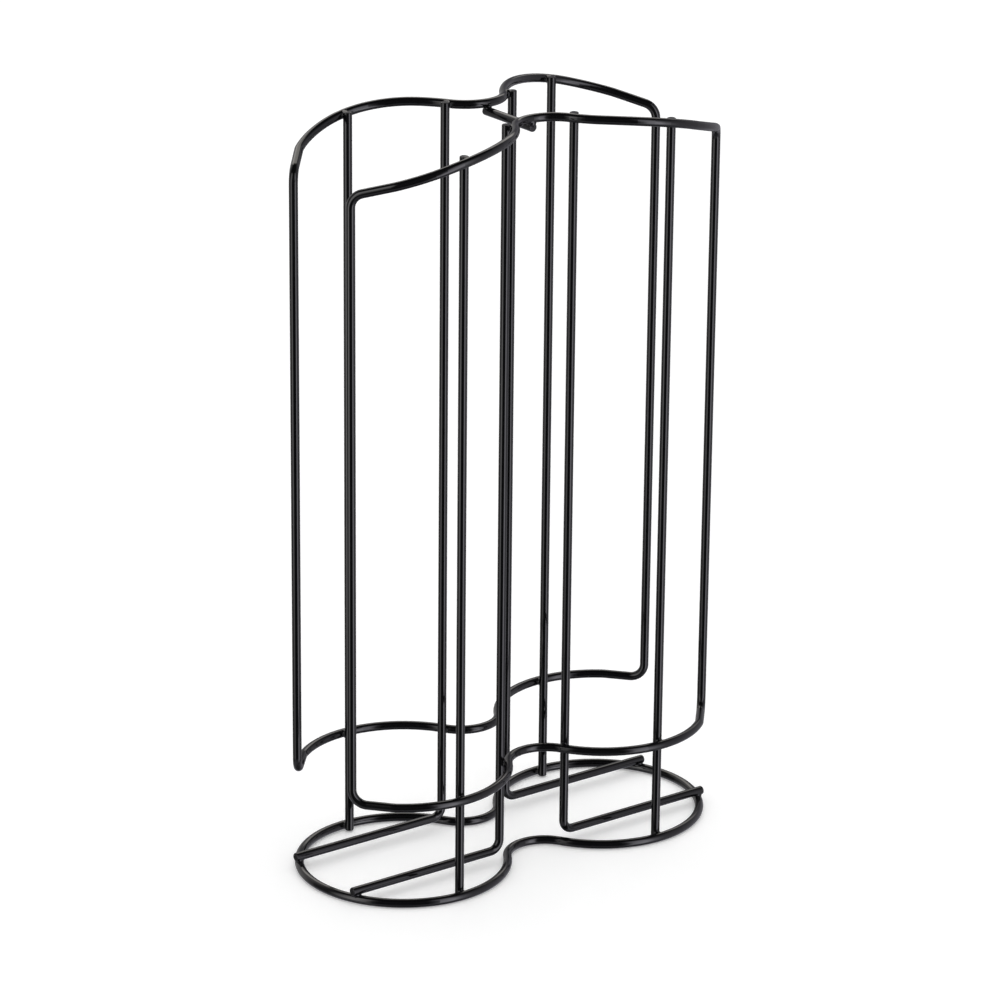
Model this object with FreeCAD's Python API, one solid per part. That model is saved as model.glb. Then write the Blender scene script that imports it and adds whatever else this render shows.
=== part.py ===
"""Wire capsule holder: a welded rack of coated round wire with two round bays, joined at a waist.

Millimetres, +Z up. The origin is on the table under the middle of the waist. X runs through the centres
of the two lobes and Y runs across the waist. The left half mirrors the right and the rear mirrors the
front, so every wire is worked out once at the front right and then placed on its own side.
"""
import FreeCAD, Part
import math
import os

Vector = FreeCAD.Vector

# The wire, and how far two crossing wires sink into each other where they are resistance welded
wire = 3.5
weld_set = 0.2
end_round = 0.4

# The coating is flat by this much under the base ring, where the rack stands on the table
foot_flat = 0.1

# The outline from above, to the centre line of the wire: two round lobes, the gap between them, the waist
lobe_radius = 41.5
lobe_gap = 14.2
waist_radius = 15.4

# The front and rear frames: their bottom and top wires, and the bend at each corner
frame_bottom = 42.0
frame_top = 301.5
corner_radius = 6.0

# A frame is rolled round a lobe as far as this half angle from the lobe's tip. From there it is bent once
# more and stays flat up to the open mouth, because its corners can't be rolled
rolled_half_angle = math.radians(52.0)
end_bend_radius = 12.0
end_bend = math.radians(11.0)
flat_end = 16.0

# The top wire is level over the waist and a little way round each lobe, then bends down to each mouth
level_on_lobe = 12.0
droop_radius = 150.0
droop_slope = math.radians(15.5)

# The posts stand inside the frames: four straight ones and four whose feet turn out into a leg.
# They are cut off this far below the top of the top wire
post_drop = 0.3
foot_lift = 0.5
foot_bend_radius = 4.5

# The brace under the top wires ends this far short of their outer sides
brace_inset = 0.5

# Worked out from the sizes above
lobe_offset = lobe_radius + lobe_gap / 2
waist_depth = math.sqrt((lobe_radius + waist_radius) ** 2 - lobe_offset ** 2)
waist_turn = math.atan2(lobe_offset, waist_depth)
waist_gap = 2 * (waist_depth - waist_radius)
lobe_start = math.pi + math.atan2(waist_depth, lobe_offset)
lobe_front = 1.5 * math.pi
lobe_tip = 2 * math.pi
waist_length = waist_radius * waist_turn
rolled_end = waist_length + (lobe_tip - rolled_half_angle - lobe_start) * lobe_radius
bend_end = rolled_end + end_bend_radius * end_bend
mouth_edge = bend_end + flat_end
standing_radius = lobe_radius - wire + weld_set
ring_height = wire / 2 - foot_flat
leg_height = ring_height + wire - weld_set


def along_lobe(angle):
    """Distance along the front wall from the middle of the waist to an angle on the right lobe."""
    return waist_length + (angle - lobe_start) * lobe_radius


def wall_point(distance):
    """Point and direction on the front wall, seen from above, a distance from the middle of the waist."""
    if distance < waist_length:
        turn = distance / waist_radius
        point = Vector(waist_radius * math.sin(turn), waist_radius * math.cos(turn) - waist_depth, 0)
        return point, Vector(math.cos(turn), -math.sin(turn), 0)
    angle = lobe_start + (distance - waist_length) / lobe_radius
    point = Vector(lobe_offset + lobe_radius * math.cos(angle), lobe_radius * math.sin(angle), 0)
    return point, Vector(-math.sin(angle), math.cos(angle), 0)


def frame_point(distance):
    """The same for a frame, which follows the wall as far as it is rolled, then bends and runs straight."""
    if distance < rolled_end:
        return wall_point(distance)
    angle = lobe_tip - rolled_half_angle
    inset = lobe_radius - end_bend_radius
    bent = min(distance, bend_end) - rolled_end
    turned = angle + bent / end_bend_radius
    centre = Vector(lobe_offset + inset * math.cos(angle), inset * math.sin(angle), 0)
    outwards = Vector(math.cos(turned), math.sin(turned), 0)
    way = Vector(-outwards.y, outwards.x, 0)
    return centre + outwards * end_bend_radius + way * (distance - rolled_end - bent), way


def station(place, height, heading=0.0):
    """Station of a wire: a point at a height, and the way that the wire runs through it."""
    point, way = place
    up = Vector(0, 0, 1)
    return point + up * height, way * math.cos(heading) + up * math.sin(heading)


def evenly(start, end, parts):
    """Values from start to end in equal steps, without the start itself."""
    return [start + (end - start) * step / parts for step in range(1, parts + 1)]


def mirrored(stations, normal):
    """The stations met on the way back along the mirror image of a wire."""
    image = []
    for point, way in reversed(stations):
        image.append((point - normal * (2 * point.dot(normal)), normal * (2 * way.dot(normal)) - way))
    return image


def placed(stations, side, row):
    """Stations moved from the front right to another side (-1 left, 1 right) and row (-1 front, 1 rear)."""
    moved = []
    for point, way in stations:
        there = Vector(side * point.x, -row * point.y, point.z)
        moved.append((there, Vector(side * way.x, -row * way.y, way.z)))
    return moved


def parallel(one, other):
    """Whether two directions are parallel, but for rounding."""
    rounding = 1e-6
    return one.cross(other).Length < rounding * one.Length * other.Length


def arc_edge(start, way, end):
    """Arc from start to end that leaves start along way, or a line where way points straight at the end."""
    chord = end - start
    ahead = way.dot(chord) / chord.Length
    aside = way - chord * (way.dot(chord) / chord.dot(chord))
    if parallel(way, chord):
        return Part.LineSegment(start, end).toShape()
    rise = chord.Length / 2 * math.tan(math.atan2(aside.Length, ahead) / 2)
    middle = (start + end) * 0.5 + aside * (rise / aside.Length)
    return Part.Arc(start, middle, end).toShape()


def arc_pair(start, way_out, end, way_in):
    """Two arcs from start to end that share a tangent where they meet, as a wire bent in one sweep has."""
    across = end - start
    if parallel(across, way_out) and parallel(across, way_in):
        return [Part.LineSegment(start, end).toShape()]
    square = 2 * (1 - way_out.dot(way_in))
    linear = 2 * across.dot(way_out + way_in)
    constant = across.dot(across)
    reach = 2 * constant / (linear + math.sqrt(linear ** 2 + 4 * square * constant))
    corner_out = start + way_out * reach
    corner_in = end - way_in * reach
    meet = (corner_out + corner_in) * 0.5
    shared = (corner_in - corner_out).normalize()
    return [arc_edge(start, way_out, meet), arc_edge(meet, shared, end)]


def is_rim(edge, point, way):
    """Whether an edge is the round rim of a wire's cut end at a point."""
    near = 1e-3
    flat = all(abs((vertex.Point - point).dot(way)) < near for vertex in edge.Vertexes)
    return flat and (edge.CenterOfMass - point).Length < near


def bent_wire(stations):
    """Solid round wire through the stations, with its cut ends slightly rounded where it isn't closed."""
    edges = []
    for (start, way_out), (end, way_in) in zip(stations[:-1], stations[1:]):
        edges += arc_pair(start, way_out, end, way_in)
    path = Part.Wire(edges)
    first_point, first_way = stations[0]
    section = Part.Wire(Part.Circle(first_point, first_way, wire / 2).toShape())
    solid = path.makePipeShell([section], True, False)
    if not path.isClosed():
        ends = (stations[0], stations[-1])
        rims = [edge for edge in solid.Edges if any(is_rim(edge, point, way) for point, way in ends)]
        solid = solid.makeFillet(min(end_round, wire / 4), rims)
    return solid, path.Length


def top_wire(distance):
    """Height and heading of the top wire a distance along the wall from the middle of the waist."""
    level = waist_length + level_on_lobe
    bend = droop_radius * math.sin(droop_slope)
    past = distance - level
    if past <= 0:
        return frame_top, 0.0
    if past < bend:
        heading = math.asin(past / droop_radius)
        return frame_top - droop_radius * (1 - math.cos(heading)), -heading
    drop = droop_radius * (1 - math.cos(droop_slope)) + (past - bend) * math.tan(droop_slope)
    return frame_top - drop, -droop_slope


def base_ring():
    """Closed wire that lies on the table and carries everything else."""
    turns = (0.0, waist_length, along_lobe(lobe_tip))
    quarter = [station(wall_point(distance), ring_height) for distance in turns]
    half = quarter + mirrored(quarter, Vector(0, 1, 0))[1:]
    return half + mirrored(half, Vector(1, 0, 0))[1:]


def frame():
    """Closed wire round the front of both lobes: bent flat with round corners, then rolled to the wall."""
    level = waist_length + level_on_lobe
    droop_end = level + droop_radius * math.sin(droop_slope)
    corner = mouth_edge - corner_radius
    top_corner = corner + corner_radius * math.sin(droop_slope)
    top_corner_height = top_wire(top_corner)[0] - corner_radius * math.cos(droop_slope)
    stops = [0.0, waist_length] + evenly(waist_length, level, 2) + evenly(level, droop_end, 3)
    stops += evenly(droop_end, rolled_end, 2) + [bend_end, top_corner]
    half = [station(frame_point(distance), *top_wire(distance)) for distance in sorted(stops)]
    for heading in evenly(math.pi / 2 - droop_slope, 0.0, 2):
        across = corner + corner_radius * math.cos(heading)
        height = top_corner_height + corner_radius * math.sin(heading)
        half.append(station(frame_point(across), height, heading - math.pi / 2))
    for heading in [0.0] + evenly(0.0, -math.pi / 2, 2):
        across = corner + corner_radius * math.cos(heading)
        height = frame_bottom + corner_radius * (1 + math.sin(heading))
        half.append(station(frame_point(across), height, heading - math.pi / 2))
    way_back = (bend_end, rolled_end, waist_length, 0.0)
    half += [station(frame_point(distance), frame_bottom, -math.pi) for distance in way_back]
    return half + mirrored(half, Vector(1, 0, 0))[1:]


def post_top(angle):
    """Upper end of a post inside the wall, just below the top of the top wire, and the way down from it."""
    height = top_wire(along_lobe(angle))[0] + wire / 2 - post_drop
    across = lobe_offset + standing_radius * math.cos(angle)
    return Vector(across, standing_radius * math.sin(angle), height), Vector(0, 0, -1)


def straight_post():
    """Upright at the front of a lobe, whose foot stands inside the base ring."""
    top, down = post_top(lobe_front)
    return [(top, down), (Vector(top.x, top.y, foot_lift), down)]


def leg_post():
    """Upright beside the waist, whose foot turns out into a leg with its far end on the base ring."""
    top, down = post_top(lobe_start)
    out = Vector(1, 0, 0)
    bend_top = Vector(top.x, top.y, leg_height + foot_bend_radius)
    bend_end = Vector(top.x + foot_bend_radius, top.y, leg_height)
    leg_end = lobe_offset + math.sqrt((lobe_radius + wire / 2) ** 2 - top.y ** 2)
    return [(top, down), (bend_top, down), (bend_end, out), (Vector(leg_end, top.y, leg_height), out)]


def top_brace():
    """Straight wire across the waist, welded under the top wires of both frames."""
    reach = waist_gap / 2 + wire / 2 - brace_inset
    height = frame_top - wire + weld_set
    back = Vector(0, 1, 0)
    return [(Vector(0, -reach, height), back), (Vector(0, reach, height), back)]


def flat_underneath(solid):
    """The base ring without the sliver that would reach below the table."""
    box = solid.BoundBox
    below = Part.makeBox(box.XLength + 2 * wire, box.YLength + 2 * wire, wire)
    below.translate(Vector(box.XMin - wire, box.YMin - wire, -wire))
    return solid.cut(below)


def all_wires():
    """Every wire of the rack by name, as its stations."""
    wires = {"base_ring": base_ring(), "top_brace": top_brace()}
    for row_name, row in (("front", -1), ("rear", 1)):
        wires[row_name + "_frame"] = placed(frame(), 1, row)
        for side_name, side in (("left", -1), ("right", 1)):
            wires[f"{row_name}_{side_name}_post"] = placed(straight_post(), side, row)
            wires[f"{row_name}_{side_name}_leg_post"] = placed(leg_post(), side, row)
    return wires


os.makedirs("parts", exist_ok=True)
for name, stations in all_wires().items():
    solid, length = bent_wire(stations)
    if name == "base_ring":
        solid = flat_underneath(solid)
    expected = math.pi * (wire / 2) ** 2 * length
    print(f"{name}: {length:.1f} mm, {solid.Volume:.0f} of {expected:.0f} mm3, valid {solid.isValid()}")
    solid.exportStep(f"parts/{name}.step")
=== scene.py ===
import math
import random

import bpy
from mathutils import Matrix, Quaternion, Vector
from mathutils.bvhtree import BVHTree
from mathutils.geometry import intersect_ray_tri


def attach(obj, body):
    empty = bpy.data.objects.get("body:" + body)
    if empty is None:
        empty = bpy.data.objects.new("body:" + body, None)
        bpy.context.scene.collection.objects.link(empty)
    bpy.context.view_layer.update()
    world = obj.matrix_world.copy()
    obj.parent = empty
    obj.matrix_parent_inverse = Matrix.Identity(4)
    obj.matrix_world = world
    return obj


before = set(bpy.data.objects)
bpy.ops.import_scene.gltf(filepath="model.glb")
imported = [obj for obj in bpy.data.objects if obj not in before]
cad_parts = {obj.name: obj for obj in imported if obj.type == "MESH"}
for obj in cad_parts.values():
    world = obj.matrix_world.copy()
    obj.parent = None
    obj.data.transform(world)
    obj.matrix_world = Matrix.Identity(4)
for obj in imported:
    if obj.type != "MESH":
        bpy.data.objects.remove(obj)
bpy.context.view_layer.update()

# Base ring: one length of 3.5 mm steel wire bent to a figure eight, butt welded closed and coated black.
# The coating is sprayed and cured on the finished rack, so it runs slightly thick and thin along the wire
# and dries with a faint orange peel. The ring's underside is rubbed a little where it stands on the table.
PEEL_SIZE = 0.0016
PEEL_HEIGHT = 0.00001
PEEL_DETAIL = 1.0
FLOW_SIZE = 0.022
FLOW_DETAIL = 2.0
NOISE_MIDDLE = 0.5
COAT_BLACK = (0.0020, 0.0020, 0.0023, 1.0)
COAT_THIN = (0.0045, 0.0044, 0.0050, 1.0)
COAT_ROUGHNESS = 0.05
COAT_UNEVEN = 0.04
COAT_IOR = 1.5
RUB_HEIGHT = 0.0006
RUB_ROUGHNESS = 0.45


def coat_group():
    """Node group of the cured coating: its colour, roughness and the height of its orange peel."""
    group = bpy.data.node_groups.new("cured_coating", "ShaderNodeTree")
    for label, kind, value in (("Thick Colour", "NodeSocketColor", COAT_BLACK),
                               ("Thin Colour", "NodeSocketColor", COAT_THIN),
                               ("Roughness", "NodeSocketFloat", COAT_ROUGHNESS),
                               ("Unevenness", "NodeSocketFloat", COAT_UNEVEN),
                               ("Peel Size", "NodeSocketFloat", PEEL_SIZE),
                               ("Flow Size", "NodeSocketFloat", FLOW_SIZE)):
        group.interface.new_socket(label, in_out="INPUT", socket_type=kind).default_value = value
    for label, kind in (("Colour", "NodeSocketColor"), ("Roughness", "NodeSocketFloat"),
                        ("Peel", "NodeSocketFloat")):
        group.interface.new_socket(label, in_out="OUTPUT", socket_type=kind)
    nodes, links = group.nodes, group.links
    given = nodes.new("NodeGroupInput")
    result = nodes.new("NodeGroupOutput")
    place = nodes.new("ShaderNodeTexCoord")
    waves = {}
    for label, size_socket, detail in (("flow", "Flow Size", FLOW_DETAIL),
                                       ("peel", "Peel Size", PEEL_DETAIL)):
        scale = nodes.new("ShaderNodeMath")
        scale.operation = "DIVIDE"
        scale.inputs[0].default_value = 1.0
        links.new(given.outputs[size_socket], scale.inputs[1])
        noise = nodes.new("ShaderNodeTexNoise")
        noise.inputs["Detail"].default_value = detail
        links.new(place.outputs["Object"], noise.inputs["Vector"])
        links.new(scale.outputs[0], noise.inputs["Scale"])
        waves[label] = noise.outputs["Fac"]
    tone = nodes.new("ShaderNodeMix")
    tone.data_type = "RGBA"
    links.new(waves["flow"], tone.inputs["Factor"])
    links.new(given.outputs["Thick Colour"], tone.inputs["A"])
    links.new(given.outputs["Thin Colour"], tone.inputs["B"])
    links.new(tone.outputs["Result"], result.inputs["Colour"])
    centred = nodes.new("ShaderNodeMath")
    centred.operation = "SUBTRACT"
    links.new(waves["flow"], centred.inputs[0])
    centred.inputs[1].default_value = NOISE_MIDDLE
    rough = nodes.new("ShaderNodeMath")
    rough.operation = "MULTIPLY_ADD"
    links.new(centred.outputs[0], rough.inputs[0])
    links.new(given.outputs["Unevenness"], rough.inputs[1])
    links.new(given.outputs["Roughness"], rough.inputs[2])
    links.new(rough.outputs[0], result.inputs["Roughness"])
    links.new(waves["peel"], result.inputs["Peel"])
    return group


CURED_COATING = coat_group()


def coated_material(name, rubbed=False, peel_height=PEEL_HEIGHT):
    """Glossy black coating on steel wire, rubbed dull just above the table if asked."""
    material = bpy.data.materials.new(name)
    material.use_nodes = True
    nodes, links = material.node_tree.nodes, material.node_tree.links
    shader = nodes["Principled BSDF"]
    shader.inputs["IOR"].default_value = COAT_IOR
    coating = nodes.new("ShaderNodeGroup")
    coating.node_tree = CURED_COATING
    bump = nodes.new("ShaderNodeBump")
    bump.inputs["Strength"].default_value = 1.0
    bump.inputs["Distance"].default_value = peel_height
    links.new(coating.outputs["Colour"], shader.inputs["Base Color"])
    links.new(coating.outputs["Peel"], bump.inputs["Height"])
    links.new(bump.outputs["Normal"], shader.inputs["Normal"])
    rough = coating.outputs["Roughness"]
    if rubbed:
        place = nodes.new("ShaderNodeTexCoord")
        apart = nodes.new("ShaderNodeSeparateXYZ")
        links.new(place.outputs["Object"], apart.inputs["Vector"])
        low = nodes.new("ShaderNodeMapRange")
        low.inputs["From Min"].default_value = RUB_HEIGHT
        low.inputs["From Max"].default_value = 0.0
        links.new(apart.outputs["Z"], low.inputs["Value"])
        rub = nodes.new("ShaderNodeMix")
        rub.data_type = "FLOAT"
        links.new(low.outputs["Result"], rub.inputs["Factor"])
        links.new(rough, rub.inputs["A"])
        rub.inputs["B"].default_value = RUB_ROUGHNESS
        rough = rub.outputs["Result"]
    links.new(rough, shader.inputs["Roughness"])
    return material


def coat(node, material):
    """Gives a CAD wire its coating in every material slot."""
    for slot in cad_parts[node].material_slots:
        slot.material = material


coat("base_ring", coated_material("ring_coating", rubbed=True))

# Front and rear frames: closed wires, bent flat with four round corners and then rolled round both lobes.
# Posts and brace: cut lengths of the same wire, welded inside the frames. All share the rack's coating.
WIRE_COATING = coated_material("wire_coating")
CARRIERS = ["base_ring", "front_frame", "rear_frame"]
BARS = sorted(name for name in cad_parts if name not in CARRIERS)
for name in CARRIERS[1:] + BARS:
    coat(name, WIRE_COATING)

# Welds: wherever two wires cross they are pressed together hot and sink into each other a little.
# Squeezed steel and pooled coating fill the crevice with a small smooth bead, cast here from the two wires
# themselves: their stubs are joined, and the joint is smoothed until only the crevice stands proud.
STUB_REACH = 0.0042
BEAD_SIZE = 0.0017
BEAD_SPREAD = 0.18
BEAD_SEGMENTS = 24
BEAD_RINGS = 12
BEAD_SEED = 7
SKIN_STEP = 0.00025
SMOOTH_SHARE = 0.5
SMOOTH_ROUNDS = 14
SKIN_SINK = 0.00003
WELD_PEEL_HEIGHT = 0.00002
SAME_POINT = 0.000001
SAME_PLACE = 0.008
random.seed(BEAD_SEED)


def edit_alone(wire):
    """Puts one object, and nothing else, into edit mode."""
    bpy.ops.object.select_all(action="DESELECT")
    bpy.context.view_layer.objects.active = wire
    wire.select_set(True)
    bpy.ops.object.mode_set(mode="EDIT")


def merged_copy(node):
    """Copy of a CAD wire as one closed skin."""
    copy = bpy.data.objects.new(node + "_skin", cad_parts[node].data.copy())
    bpy.context.scene.collection.objects.link(copy)
    edit_alone(copy)
    bpy.ops.mesh.select_all(action="SELECT")
    bpy.ops.mesh.remove_doubles(threshold=SAME_POINT)
    bpy.ops.object.mode_set(mode="OBJECT")
    return copy


def crossings(bar, carrier):
    """Middle of each place where one wire is sunk into another, from the triangles that cut each other."""
    meshes = [bar.data, carrier.data]
    corners = [[[mesh.vertices[i].co for i in face.vertices] for face in mesh.polygons] for mesh in meshes]
    trees = [BVHTree.FromPolygons([vertex.co for vertex in mesh.vertices],
                                  [list(face.vertices) for face in mesh.polygons])
             for mesh in meshes]
    cuts = []
    for face, other in trees[0].overlap(trees[1]):
        for sharp, flat in ((corners[0][face], corners[1][other]), (corners[1][other], corners[0][face])):
            for start, end in zip(sharp, sharp[1:] + sharp[:1]):
                hit = intersect_ray_tri(*flat, end - start, start, True)
                if hit and (hit - start).dot(end - start) <= (end - start).length_squared:
                    cuts.append(hit)
    groups = []
    for cut in cuts:
        near = next((group for group in groups if (group[0] - cut).length < SAME_PLACE), None)
        if near is None:
            groups.append([cut])
        else:
            near.append(cut)
    middles = [sum(group, Vector()) / len(group) for group in groups]
    return sorted(middles, key=lambda middle: middle.z)


def stub(skin, place):
    """The part of a wire that lies within reach of a place, closed at its cuts."""
    piece = skin.copy()
    piece.data = skin.data.copy()
    bpy.context.scene.collection.objects.link(piece)
    edit_alone(piece)
    for axis in (Vector((1, 0, 0)), Vector((0, 1, 0)), Vector((0, 0, 1))):
        for side in (1, -1):
            bpy.ops.mesh.select_all(action="SELECT")
            bpy.ops.mesh.bisect(plane_co=place + axis * side * STUB_REACH, plane_no=axis * side,
                                use_fill=True, clear_outer=True)
    bpy.ops.object.mode_set(mode="OBJECT")
    return piece


def weld(name, skins, place):
    """Bead of a welded crossing: a lump joined with both stubs, made one skin and smoothed."""
    parts = [stub(skin, place) for skin in skins]
    bpy.ops.object.select_all(action="DESELECT")
    bpy.ops.mesh.primitive_uv_sphere_add(segments=BEAD_SEGMENTS, ring_count=BEAD_RINGS, radius=BEAD_SIZE,
                                         location=place)
    lump = bpy.context.object
    lump.scale = [1 + random.uniform(-BEAD_SPREAD, BEAD_SPREAD) for _ in range(3)]
    for part in parts:
        part.select_set(True)
    bpy.context.view_layer.objects.active = lump
    bpy.ops.object.join()
    bpy.ops.object.transform_apply(location=True, rotation=True, scale=True)
    lump.name = lump.data.name = name
    skin = lump.modifiers.new("one_skin", "REMESH")
    skin.mode = "VOXEL"
    skin.voxel_size = SKIN_STEP
    flow = lump.modifiers.new("flow_out", "SMOOTH")
    flow.factor = SMOOTH_SHARE
    flow.iterations = SMOOTH_ROUNDS
    for modifier in ("one_skin", "flow_out"):
        bpy.ops.object.modifier_apply(modifier=modifier)
    bpy.ops.object.mode_set(mode="EDIT")
    bpy.ops.mesh.select_all(action="SELECT")
    bpy.ops.transform.shrink_fatten(value=-SKIN_SINK)
    bpy.ops.object.mode_set(mode="OBJECT")
    bpy.ops.object.shade_smooth()
    lump.data.materials.clear()
    lump.data.materials.append(WELD_COATING)
    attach(lump, "root")


WELD_COATING = coated_material("weld_coating", peel_height=WELD_PEEL_HEIGHT)
skins = {node: merged_copy(node) for node in CARRIERS + BARS}
for bar in BARS:
    for carrier in CARRIERS:
        for number, place in enumerate(crossings(skins[bar], skins[carrier])):
            weld(f"weld_{bar}_on_{carrier}_{number + 1}", (skins[bar], skins[carrier]), place)
for skin in skins.values():
    bpy.data.objects.remove(skin)

# Table: a plain pale sheet far larger than the rack, which takes the rack's shadow and looks white to the
# camera. The gloss doesn't see it, and mirrors the lower half of the light tent in its place.
FLOOR_SIZE = 12.0
FLOOR_COLOUR = (0.90, 0.90, 0.90, 1.0)
FLOOR_WHITE = 0.22


def seen_directly(nodes, links):
    """1 for what the camera sees, straight, mirrored or let through, and 0 for light that bounces."""
    path = nodes.new("ShaderNodeLightPath")
    total = path.outputs["Is Camera Ray"]
    for label in ("Is Glossy Ray", "Is Transmission Ray"):
        both = nodes.new("ShaderNodeMath")
        both.operation = "MAXIMUM"
        links.new(total, both.inputs[0])
        links.new(path.outputs[label], both.inputs[1])
        total = both.outputs[0]
    return total


bpy.ops.object.select_all(action="DESELECT")
bpy.ops.mesh.primitive_plane_add(size=FLOOR_SIZE)
floor = bpy.context.object
floor.name = "floor"
floor_material = bpy.data.materials.new("floor_paper")
floor_material.use_nodes = True
nodes, links = floor_material.node_tree.nodes, floor_material.node_tree.links
nodes.remove(nodes["Principled BSDF"])
paper = nodes.new("ShaderNodeBsdfDiffuse")
paper.inputs["Color"].default_value = FLOOR_COLOUR
white = nodes.new("ShaderNodeEmission")
lift = nodes.new("ShaderNodeMath")
lift.operation = "MULTIPLY"
lift.inputs[1].default_value = FLOOR_WHITE
links.new(seen_directly(nodes, links), lift.inputs[0])
links.new(lift.outputs[0], white.inputs["Strength"])
together = nodes.new("ShaderNodeAddShader")
links.new(paper.outputs["BSDF"], together.inputs[0])
links.new(white.outputs["Emission"], together.inputs[1])
links.new(together.outputs["Shader"], nodes["Material Output"].inputs["Surface"])
floor.data.materials.append(floor_material)
floor.visible_glossy = False

# Surround: the plain white of a studio, which the camera sees at full white. It lights the rack and the
# table softly from all sides, at less than half that strength.
SURROUND_COLOUR = (1.0, 1.0, 1.0, 1.0)
SURROUND_WHITE = 1.0
SURROUND_LIGHT = 0.45

world = bpy.data.worlds.new("surround")
bpy.context.scene.world = world
world.use_nodes = True
nodes, links = world.node_tree.nodes, world.node_tree.links
background = nodes["Background"]
background.inputs["Color"].default_value = SURROUND_COLOUR
level = nodes.new("ShaderNodeMapRange")
level.inputs["To Min"].default_value = SURROUND_LIGHT
level.inputs["To Max"].default_value = SURROUND_WHITE
links.new(seen_directly(nodes, links), level.inputs["Value"])
links.new(level.outputs["Result"], background.inputs["Strength"])

# Light tent: what black gloss is photographed in, and seen by the gloss alone. Dark cloth before the
# camera and overhead keeps the wire black. A pale wall on each side draws a grey streak down either flank,
# the table shows in the undersides, and a warm light high up behind draws a beige stripe.
VIEW_AZIMUTH = math.radians(-36.284)
TENT_RADIUS = 2.6
TENT_SEGMENTS = 144
TENT_RINGS = 72
WHOLE_TURN = 360.0
RAMP_MIDDLE = 0.5
LEFT_WALL = [(-180, 0.2), (-150, 0.5), (-120, 0.6), (-98, 0.1), (-80, 0.1), (-68, 1.2), (-52, 2.7),
             (-40, 1.8), (-31, 0.2), (-26, 0.0)]
LEFT_RISE = [(-40, 0.1), (-30, 0.2), (-24, 0.4), (-15, 1.0), (42, 1.0), (50, 0.3), (58, 0.0)]
RIGHT_WALL = [(26, 0.0), (32, 0.4), (40, 3.0), (53, 4.0), (62, 1.8), (75, 0.7), (90, 0.6), (110, 0.6),
              (130, 0.55), (150, 0.45), (165, 0.2), (180, 0.2)]
RIGHT_RISE = [(-48, 0.05), (-38, 0.2), (-28, 0.8), (-10, 0.9), (20, 0.75), (36, 0.6), (48, 0.3), (60, 0.0)]
BACK_LIGHT = [(-180, 1.7), (-146, 1.7), (-140, 0.0), (150, 0.0), (156, 1.7), (180, 1.7)]
BACK_RISE = [(26, 0.0), (32, 1.0), (56, 1.0), (62, 0.0)]
TABLE_RISE = [(-90, 0.1), (-65, 0.12), (-52, 0.35), (-40, 0.45), (-32, 0.3), (-26, 0.04), (-15, 0.02),
              (0, 0.06), (40, 0.06), (55, 0.02), (90, 0.01)]
LEFT_TINT = (1.01, 0.99, 0.99)
RIGHT_TINT = (0.98, 0.96, 1.05)
BACK_TINT = (1.0, 0.96, 0.90)
TABLE_TINT = (0.96, 0.96, 1.08)


def light_along(nodes, links, angle, stops, tint=(1.0, 1.0, 1.0)):
    """Light that changes with an angle, from stops of degrees and strength.

    Degrees count round the rack from the camera, to the right above zero, or up from level.
    """
    ramp = nodes.new("ShaderNodeValToRGB")
    links.new(angle, ramp.inputs["Fac"])
    elements = ramp.color_ramp.elements
    while len(elements) < len(stops):
        elements.new(RAMP_MIDDLE)
    for element, (degrees, strength) in zip(elements, stops):
        element.position = RAMP_MIDDLE + degrees / WHOLE_TURN
        element.color = [channel * strength for channel in tint] + [1.0]
    return ramp.outputs["Color"]


def combined(nodes, links, operation, one, other):
    """Two lights added or multiplied, channel by channel."""
    both = nodes.new("ShaderNodeVectorMath")
    both.operation = operation
    links.new(one, both.inputs[0])
    links.new(other, both.inputs[1])
    return both.outputs["Vector"]


def tent_material():
    """Light of the whole tent by direction: the table and cloth, both walls and the light behind."""
    material = bpy.data.materials.new("tent_light")
    material.use_nodes = True
    nodes, links = material.node_tree.nodes, material.node_tree.links
    nodes.remove(nodes["Principled BSDF"])
    place = nodes.new("ShaderNodeTexCoord")
    turned = nodes.new("ShaderNodeMapping")
    turned.inputs["Rotation"].default_value = (0.0, 0.0, math.pi / 2 - VIEW_AZIMUTH)
    turned.inputs["Scale"].default_value = (1 / TENT_RADIUS, 1 / TENT_RADIUS, 1 / TENT_RADIUS)
    links.new(place.outputs["Object"], turned.inputs["Vector"])
    apart = nodes.new("ShaderNodeSeparateXYZ")
    links.new(turned.outputs["Vector"], apart.inputs["Vector"])
    turns = []
    for operation, sides in (("ARCTAN2", "YX"), ("ARCSINE", "Z")):
        angle = nodes.new("ShaderNodeMath")
        angle.operation = operation
        for number, side in enumerate(sides):
            links.new(apart.outputs[side], angle.inputs[number])
        share = nodes.new("ShaderNodeMath")
        share.operation = "MULTIPLY_ADD"
        links.new(angle.outputs[0], share.inputs[0])
        share.inputs[1].default_value = 1 / math.tau
        share.inputs[2].default_value = RAMP_MIDDLE
        turns.append(share.outputs[0])
    around, up = turns
    total = light_along(nodes, links, up, TABLE_RISE, TABLE_TINT)
    for stops, rise, tint in ((LEFT_WALL, LEFT_RISE, LEFT_TINT), (RIGHT_WALL, RIGHT_RISE, RIGHT_TINT),
                              (BACK_LIGHT, BACK_RISE, BACK_TINT)):
        wall = combined(nodes, links, "MULTIPLY", light_along(nodes, links, around, stops, tint),
                        light_along(nodes, links, up, rise))
        total = combined(nodes, links, "ADD", total, wall)
    light = nodes.new("ShaderNodeEmission")
    links.new(total, light.inputs["Color"])
    links.new(light.outputs["Emission"], nodes["Material Output"].inputs["Surface"])
    return material


bpy.ops.object.select_all(action="DESELECT")
bpy.ops.mesh.primitive_uv_sphere_add(segments=TENT_SEGMENTS, ring_count=TENT_RINGS, radius=TENT_RADIUS)
tent = bpy.context.object
tent.name = "light_tent"
tent.data.materials.append(tent_material())
tent.visible_camera = False
tent.visible_diffuse = False
tent.visible_transmission = False
tent.visible_shadow = False

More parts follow.
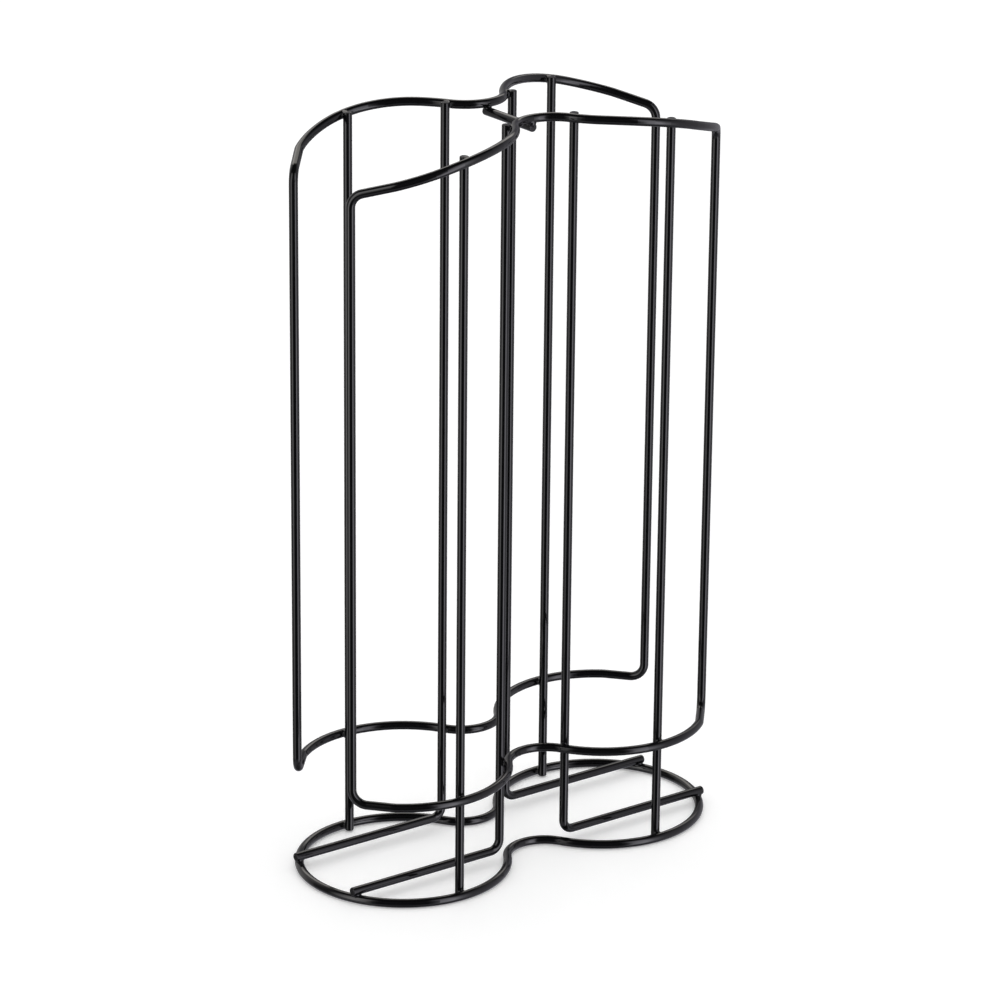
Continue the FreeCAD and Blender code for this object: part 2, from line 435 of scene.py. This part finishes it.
# Lamps: a broad soft one behind on the right throws the rack's shadow forward, and a softer one in front on
# the left fills it. Neither shows in the gloss, where the tent's walls stand for them.
KEY_STRENGTH = 1.3
KEY_ASIDE = math.radians(150)
KEY_RISE = math.radians(50)
KEY_SOFTNESS = math.radians(90)
FILL_STRENGTH = 0.7
FILL_ASIDE = math.radians(-60)
FILL_RISE = math.radians(60)
FILL_SOFTNESS = math.radians(110)

for name, strength, aside, elevation, softness in (
        ("key_light", KEY_STRENGTH, KEY_ASIDE, KEY_RISE, KEY_SOFTNESS),
        ("fill_light", FILL_STRENGTH, FILL_ASIDE, FILL_RISE, FILL_SOFTNESS)):
    azimuth = VIEW_AZIMUTH + aside
    data = bpy.data.lights.new(name, "SUN")
    data.energy = strength
    data.angle = softness
    light = bpy.data.objects.new(name, data)
    bpy.context.scene.collection.objects.link(light)
    towards = Vector((math.sin(azimuth) * math.cos(elevation), -math.cos(azimuth) * math.cos(elevation),
                      math.sin(elevation)))
    light.rotation_euler = towards.to_track_quat("Z", "Y").to_euler()
    light.visible_glossy = False

# Camera: the photograph is taken from the front left and from above, with a long lens. Its direction,
# distance and lens were fitted to the wires. The photograph's upright lines are nearly parallel, which
# this camera, without a shift, leaves out.
VIEW_PITCH = math.radians(19.823)
VIEW_ROLL = math.radians(0.551)
VIEW_DISTANCE = 1.7506
VIEW_ASIDE = -0.00214
VIEW_HEIGHT = 0.14361
PHOTO_PIXELS = 1000.0
FOCAL_PIXELS = 4450.0
SENSOR = 36.0
LENS = FOCAL_PIXELS * SENSOR / PHOTO_PIXELS

look = Vector((-math.sin(VIEW_AZIMUTH) * math.cos(VIEW_PITCH),
               math.cos(VIEW_AZIMUTH) * math.cos(VIEW_PITCH),
               -math.sin(VIEW_PITCH)))
right = Vector((math.cos(VIEW_AZIMUTH), math.sin(VIEW_AZIMUTH), 0.0))
camera_data = bpy.data.cameras.new("camera")
camera_data.sensor_width = SENSOR
camera_data.lens = LENS
camera = bpy.data.objects.new("camera", camera_data)
bpy.context.scene.collection.objects.link(camera)
camera.location = right * VIEW_ASIDE + Vector((0, 0, VIEW_HEIGHT)) - look * VIEW_DISTANCE
camera.rotation_euler = (look.to_track_quat("-Z", "Y") @ Quaternion((0, 0, 1), VIEW_ROLL)).to_euler()
bpy.context.scene.camera = camera
bpy.context.scene.view_settings.view_transform = "Standard"
